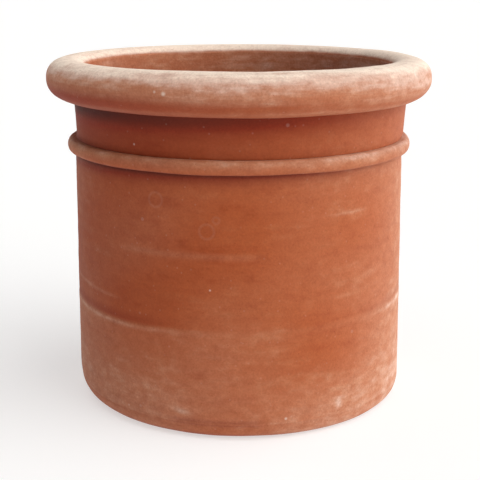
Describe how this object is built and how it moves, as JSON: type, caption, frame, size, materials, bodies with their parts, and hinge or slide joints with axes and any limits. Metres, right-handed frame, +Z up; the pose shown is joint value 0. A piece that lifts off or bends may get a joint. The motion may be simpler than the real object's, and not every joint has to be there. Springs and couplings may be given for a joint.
{
  "type": "terracotta plant pot",
  "caption": "Large straight-sided terracotta plant pot with a thick rolled rim, a plain collar, a raised half-round band and a drainage hole in its floor.",
  "frame": {"origin": "middle of the flat underside, on the pot's axis, where the pot rests", "axes": "+Z up along the pot's axis; +X to the right and -Y towards the viewer, though the shape is the same all round"},
  "size_m": [0.4, 0.4, 0.354],
  "materials": {
    "wall_clay": "matte",
    "rim_clay": "matte",
    "band_clay": "matte",
    "collar_clay": "matte",
    "foot_clay": "matte",
    "inner_clay": "matte"
  },
  "bodies": {
    "root": {"floor_slab": "foot_clay", "corner_coil": "inner_clay", "lower_wall": "wall_clay", "upper_wall": "wall_clay", "raised_band": "band_clay", "collar": "collar_clay", "rolled_rim": "rim_clay"}
  },
  "joints": []
}
